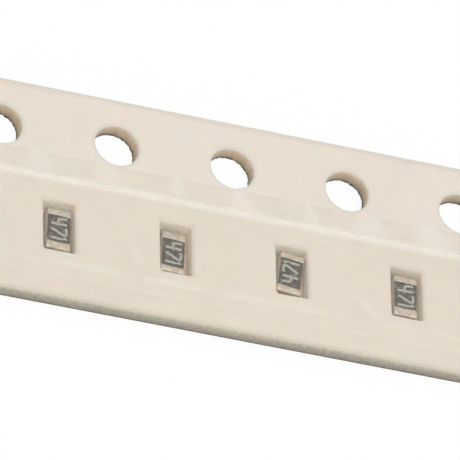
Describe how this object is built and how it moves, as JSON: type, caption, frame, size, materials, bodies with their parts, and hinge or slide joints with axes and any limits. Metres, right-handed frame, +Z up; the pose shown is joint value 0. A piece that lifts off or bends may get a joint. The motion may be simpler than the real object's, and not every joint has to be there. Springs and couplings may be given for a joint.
{
  "type": "smd carrier tape strip",
  "caption": "Cut strip of punched card carrier tape with chip resistors in its pockets, a clear heat-sealed cover film and sprocket holes along one edge.",
  "frame": {"origin": "middle of the strip on the surface that it lies on", "axes": "+X along the tape, +Y across it towards the sprocket holes, +Z up out of the pockets through the cover film"},
  "size_m": [0.0422, 0.008, 0.0007],
  "materials": {
    "punched_card": "uncoated cream card, fibrous, with soft punched rims",
    "clear_film": "clear heat-sealed polyester film, faintly hazy",
    "base_film": "thin translucent tissue film",
    "alumina": "unglazed white alumina",
    "resistor_ink": "fired dark resistive ink",
    "overcoat_glaze": "dark printed overcoat, low satin",
    "marking_ink": "pale fired ink, slightly rough",
    "matte_tin": "matt electroplated tin"
  },
  "bodies": {
    "root": {"carrier_tape": "punched_card", "cover_film": "clear_film", "bottom_film": "base_film", "chip_01_substrate": "alumina", "chip_01_resistive_film": "resistor_ink", "chip_01_overcoat": "overcoat_glaze", "chip_01_left_terminal": "matte_tin", "chip_01_right_terminal": "matte_tin", "chip_02_substrate": "alumina", "chip_02_resistive_film": "resistor_ink", "chip_02_overcoat": "overcoat_glaze", "chip_02_left_terminal": "matte_tin", "chip_02_right_terminal": "matte_tin", "chip_03_substrate": "alumina", "chip_03_resistive_film": "resistor_ink", "chip_03_overcoat": "overcoat_glaze", "chip_03_left_terminal": "matte_tin", "chip_03_right_terminal": "matte_tin", "chip_04_substrate": "alumina", "chip_04_resistive_film": "resistor_ink", "chip_04_overcoat": "overcoat_glaze", "chip_04_left_terminal": "matte_tin", "chip_04_right_terminal": "matte_tin", "chip_05_substrate": "alumina", "chip_05_resistive_film": "resistor_ink", "chip_05_overcoat": "overcoat_glaze", "chip_05_left_terminal": "matte_tin", "chip_05_right_terminal": "matte_tin", "chip_06_substrate": "alumina", "chip_06_resistive_film": "resistor_ink", "chip_06_overcoat": "overcoat_glaze", "chip_06_left_terminal": "matte_tin", "chip_06_right_terminal": "matte_tin", "chip_07_substrate": "alumina", "chip_07_resistive_film": "resistor_ink", "chip_07_overcoat": "overcoat_glaze", "chip_07_left_terminal": "matte_tin", "chip_07_right_terminal": "matte_tin", "chip_08_substrate": "alumina", "chip_08_resistive_film": "resistor_ink", "chip_08_overcoat": "overcoat_glaze", "chip_08_left_terminal": "matte_tin", "chip_08_right_terminal": "matte_tin", "chip_09_substrate": "alumina", "chip_09_resistive_film": "resistor_ink", "chip_09_overcoat": "overcoat_glaze", "chip_09_left_terminal": "matte_tin", "chip_09_right_terminal": "matte_tin", "chip_10_substrate": "alumina", "chip_10_resistive_film": "resistor_ink", "chip_10_overcoat": "overcoat_glaze", "chip_10_left_terminal": "matte_tin", "chip_10_right_terminal": "matte_tin"}
  },
  "joints": []
}
